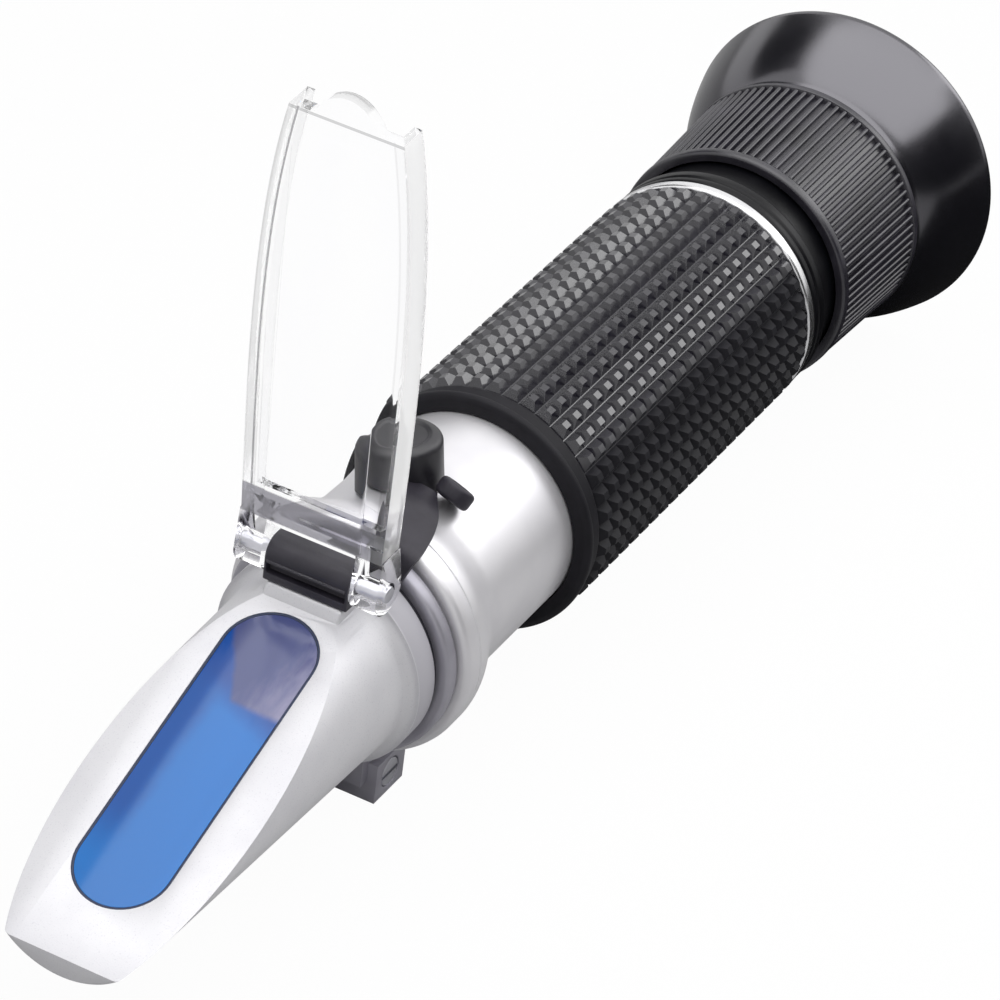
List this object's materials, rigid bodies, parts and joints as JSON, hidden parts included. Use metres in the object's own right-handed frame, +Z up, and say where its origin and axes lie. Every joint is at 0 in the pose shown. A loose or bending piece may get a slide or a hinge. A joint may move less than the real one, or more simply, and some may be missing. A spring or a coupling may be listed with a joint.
{
  "type": "handheld refractometer",
  "caption": "Handheld optical refractometer with a hinged clear cover over its sloping prism, a rubber grip, a calibration screw under a cap and a focusing eyepiece with an eyecup.",
  "frame": {"origin": "on the surface that the instrument lies on, under the middle of its length and width", "axes": "+X along the tube from the nose to the eyecup, +Y across it, +Z up from the surface"},
  "size_m": [0.176, 0.04, 0.0919],
  "materials": {
    "nose_metal": "satin cast",
    "seal_black": "matte",
    "prism_glass": "polished",
    "frame_brass": "machined",
    "small_steel": "machined",
    "hinge_black": "moulded",
    "clear_plastic": "clear moulded",
    "strap_rubber": "matte",
    "collar_grey": "satin grey",
    "tube_metal": "satin",
    "inner_black": "matte black",
    "lens_glass": "polished",
    "grip_rubber": "moulded",
    "trim_bright": "bright turned",
    "collar_black": "gloss black",
    "focus_black": "ribbed",
    "eyecup_rubber": "smooth",
    "cap_rubber": "matte"
  },
  "bodies": {
    "barrel": {"nose_housing": "nose_metal", "window_seal": "seal_black", "main_prism": "prism_glass", "prism_frame": "frame_brass", "prism_frame_screw_left": "small_steel", "prism_frame_screw_right": "small_steel", "bimetal_strip": "frame_brass", "hinge_block": "hinge_black", "hinge_pin": "small_steel", "neck_band": "strap_rubber", "clamp_collar": "collar_grey", "clamp_screw": "small_steel", "body_tube": "tube_metal", "cell_ring": "inner_black", "cell_spring": "small_steel", "reticle_cell": "inner_black", "reticle": "lens_glass", "grip_sleeve": "grip_rubber", "trim_ring": "trim_bright", "rear_collar": "collar_black", "guide_pin": "small_steel"},
    "cover": {"cover_plate": "clear_plastic"},
    "objective": {"objective_cell": "inner_black", "objective_lens": "lens_glass", "objective_ring": "inner_black"},
    "screw": {"calibration_screw": "frame_brass"},
    "cap": {"calibration_cap": "cap_rubber"},
    "ocular": {"ocular_tube": "inner_black", "ocular_clip": "small_steel", "field_lens": "lens_glass", "lens_spacer": "inner_black", "eye_lens": "lens_glass", "ocular_ring": "inner_black"},
    "focus": {"focus_ring": "focus_black", "eyecup": "eyecup_rubber"}
  },
  "joints": [
    {"name": "cover_hinge", "type": "hinge", "parent": "barrel", "child": "cover", "pos_m": [-0.0412, 0, 0.0338], "axis": [0, 1, 0], "range_deg": [-109, 6]},
    {"name": "focus_travel", "type": "slide", "parent": "barrel", "child": "ocular", "axis": [1, 0, 0], "range_m": [-0.0025, 0.0025]},
    {"name": "focus_turn", "type": "hinge", "parent": "ocular", "child": "focus", "pos_m": [0.07, 0, 0.02], "axis": [1, 0, 0], "range_deg": [-150, 150]},
    {"name": "calibration_turn", "type": "hinge", "parent": "barrel", "child": "screw", "pos_m": [-0.0196, 0, 0.02], "axis": [0, 0.1392, 0.9903], "range_deg": [-180, 180]},
    {"name": "objective_shift", "type": "slide", "parent": "barrel", "child": "objective", "axis": [0, 0.1392, 0.9903], "range_m": [-0.0001725, 0.0001725]},
    {"name": "cap_pull", "type": "slide", "parent": "barrel", "child": "cap", "axis": [0, 0.1392, 0.9903], "range_m": [0, 0.008]}
  ],
  "couplings": [
    {"joint": "focus_turn", "follows": "focus_travel", "rad_per_m": 1047},
    {"joint": "calibration_turn", "follows": "objective_shift", "rad_per_m": 18180}
  ]
}
